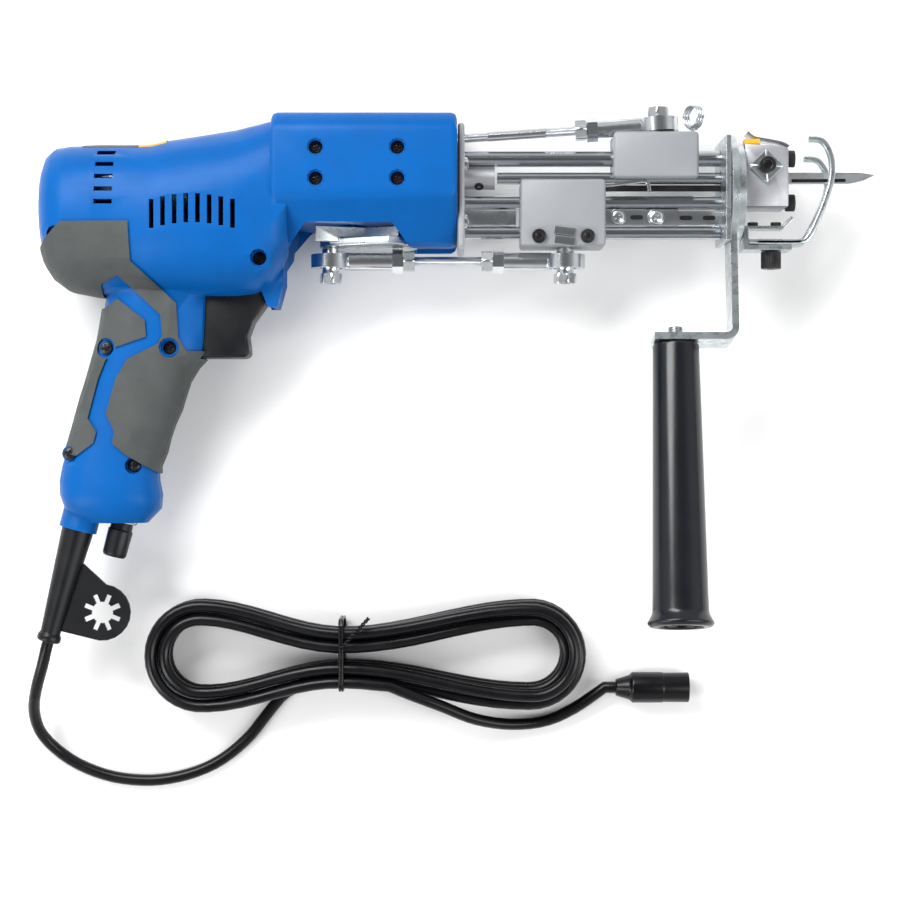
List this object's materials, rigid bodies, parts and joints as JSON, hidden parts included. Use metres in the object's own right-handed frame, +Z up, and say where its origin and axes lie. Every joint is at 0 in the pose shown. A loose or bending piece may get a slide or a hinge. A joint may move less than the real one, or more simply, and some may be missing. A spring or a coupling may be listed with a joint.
{
  "type": "handheld tufting machine",
  "caption": "Electric handheld tufting machine: pistol-grip casing, open reciprocating needle and cutter drive on guide rods, side handle and wound supply cord.",
  "frame": {"origin": "centre of the machine's bounding box without its cord, on the surface that it lies on", "axes": "+X towards the needle along the machine's length, +Y from the grip's end towards the casing's top, +Z up from the side that it lies on"},
  "size_m": [0.427, 0.3459, 0.0918],
  "materials": {
    "blue_plastic": "satin moulded plastic",
    "grey_rubber": "fine matt grain",
    "black_plastic": "satin",
    "steel": "bright",
    "black_steel": "black oxide",
    "alloy": "machined",
    "white_nylon": "satin",
    "copper": "wound copper",
    "brass": "satin",
    "cord_rubber": "matt"
  },
  "bodies": {
    "frame": {"casing_right": "blue_plastic", "casing_left": "blue_plastic", "finger_pad_right": "grey_rubber", "finger_pad_left": "grey_rubber", "palm_pad_right": "grey_rubber", "palm_pad_left": "grey_rubber", "switch_module": "black_plastic", "speed_control": "steel", "gearbox_housing": "alloy", "lower_bearing": "steel", "upper_bearing": "steel", "motor_can": "steel", "motor_end_cap": "black_plastic", "front_flange": "alloy", "upper_guide_rod": "steel", "middle_guide_rod": "steel", "lower_guide_rod": "steel", "end_plate": "steel", "handle_bracket": "steel", "handle_bolt": "steel", "front_handle": "black_plastic", "retaining_ring": "steel", "nose_block": "alloy", "nose_screw_upper": "black_steel", "nose_screw_lower": "black_steel", "needle_clamp_screw": "black_steel", "foot_bracket": "steel", "presser_foot": "steel", "foot_screw": "black_steel", "cord_gland": "cord_rubber", "key_holder": "black_plastic", "cord_lead": "cord_rubber", "cord_hank": "cord_rubber", "cord_tail": "cord_rubber", "cord_tie": "black_plastic", "cord_connector": "black_plastic"},
    "rotor": {"motor_rotor": "copper", "motor_pinion": "steel", "cooling_fan": "black_plastic"},
    "crank": {"crankshaft": "steel", "crown_wheel": "brass", "lower_crank": "steel"},
    "needle_drive": {"needle_carriage": "white_nylon", "needle_bar": "steel", "needle": "steel", "yarn_loop": "steel", "needle_link_front_bolt": "steel"},
    "cutter_drive": {"cutter_carriage": "white_nylon", "cutter_blade": "steel", "cutter_link_front_bolt": "steel"},
    "needle_link": {"needle_link_stud": "steel", "needle_link_front_eye": "steel", "needle_link_rear_eye": "steel", "needle_link_rear_bolt": "steel"},
    "cutter_link": {"cutter_link_stud": "steel", "cutter_link_front_eye": "steel", "cutter_link_rear_eye": "steel", "cutter_link_rear_bolt": "steel"},
    "trigger": {"trigger": "black_plastic"},
    "speed_knob": {"speed_knob": "black_plastic"}
  },
  "joints": [
    {"name": "crank_spin", "type": "hinge", "parent": "frame", "child": "crank", "pos_m": [-0.054, 0.083, 0.038], "axis": [0, 1, 0], "continuous": true},
    {"name": "motor_spin", "type": "hinge", "parent": "frame", "child": "rotor", "pos_m": [-0.16, 0.09075, 0.038], "axis": [1, 0, 0], "continuous": true},
    {"name": "needle_slide", "type": "slide", "parent": "frame", "child": "needle_drive", "axis": [1, 0, 0], "range_m": [-0.02, 0]},
    {"name": "cutter_slide", "type": "slide", "parent": "frame", "child": "cutter_drive", "axis": [1, 0, 0], "range_m": [0, 0.02]},
    {"name": "needle_link_swing", "type": "hinge", "parent": "needle_drive", "child": "needle_link", "pos_m": [0.09968, 0.12355, 0.038], "axis": [0, 1, 0], "range_deg": [-4, 4]},
    {"name": "cutter_link_swing", "type": "hinge", "parent": "cutter_drive", "child": "cutter_link", "pos_m": [0.053, 0.0555, 0.038], "axis": [0, 1, 0], "range_deg": [-4.9, 4.9]},
    {"name": "trigger_pull", "type": "slide", "parent": "frame", "child": "trigger", "axis": [-1, 0, 0], "range_m": [0, 0.006], "stiffness_N_per_m": 800, "springref_m": -0.002},
    {"name": "speed_knob_turn", "type": "hinge", "parent": "frame", "child": "speed_knob", "pos_m": [-0.168, -0.0745, 0.038], "axis": [-0.2571, -0.9664, 0], "range_deg": [0, 300]}
  ],
  "couplings": [
    {"joint": "motor_spin", "follows": "crank_spin", "ratio": -3},
    {"joint": "cutter_slide", "follows": "needle_slide", "ratio": -1}
  ]
}
